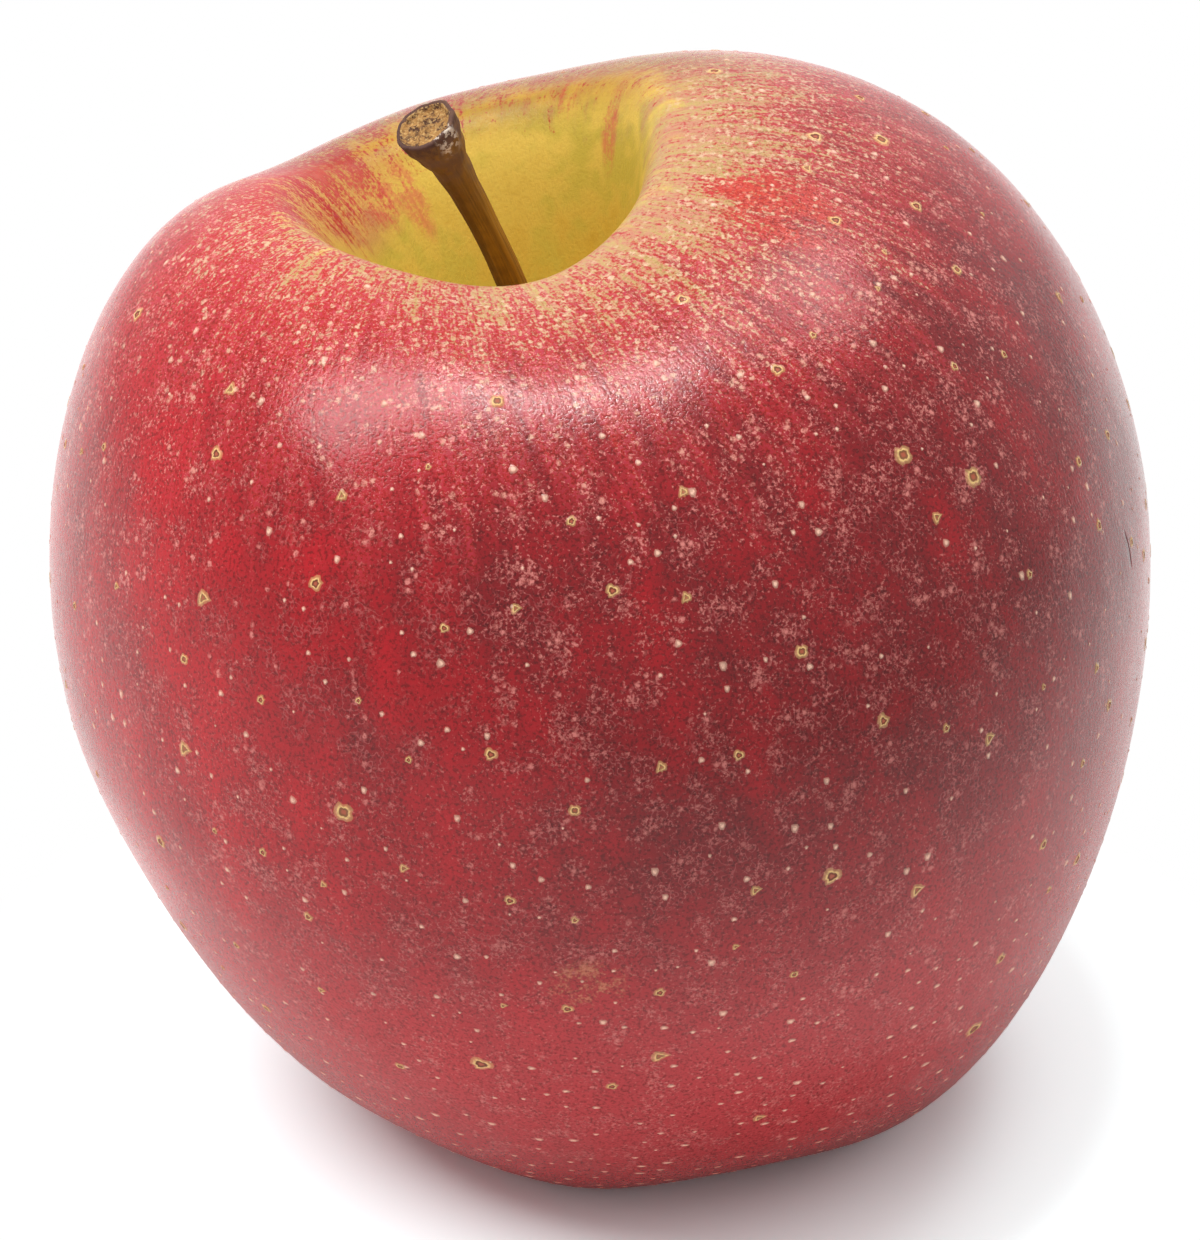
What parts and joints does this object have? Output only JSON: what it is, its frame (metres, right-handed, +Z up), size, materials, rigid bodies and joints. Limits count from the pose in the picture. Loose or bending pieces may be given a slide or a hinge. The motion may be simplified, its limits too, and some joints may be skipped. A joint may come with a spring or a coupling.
{
  "type": "red apple",
  "caption": "Fresh red dessert apple with a yellow stem cavity, a short woody stem and dried sepals in its blossom basin.",
  "frame": {"origin": "under the middle of the apple's box, on the surface that the apple stands on", "axes": "+Z up from the blossom end towards the stem, -Y towards the front, and +X to the front's right, where the shoulder is highest"},
  "size_m": [0.08, 0.0808, 0.0792],
  "materials": {
    "skin": "satin",
    "stem_bark": "matte",
    "dried_sepal": "matte",
    "dried_stamen": "matte"
  },
  "bodies": {
    "root": {"fruit": "skin", "stem": "stem_bark", "sepal_1": "dried_sepal", "sepal_2": "dried_sepal", "sepal_3": "dried_sepal", "sepal_4": "dried_sepal", "sepal_5": "dried_sepal", "stamens": "dried_stamen"}
  },
  "joints": []
}
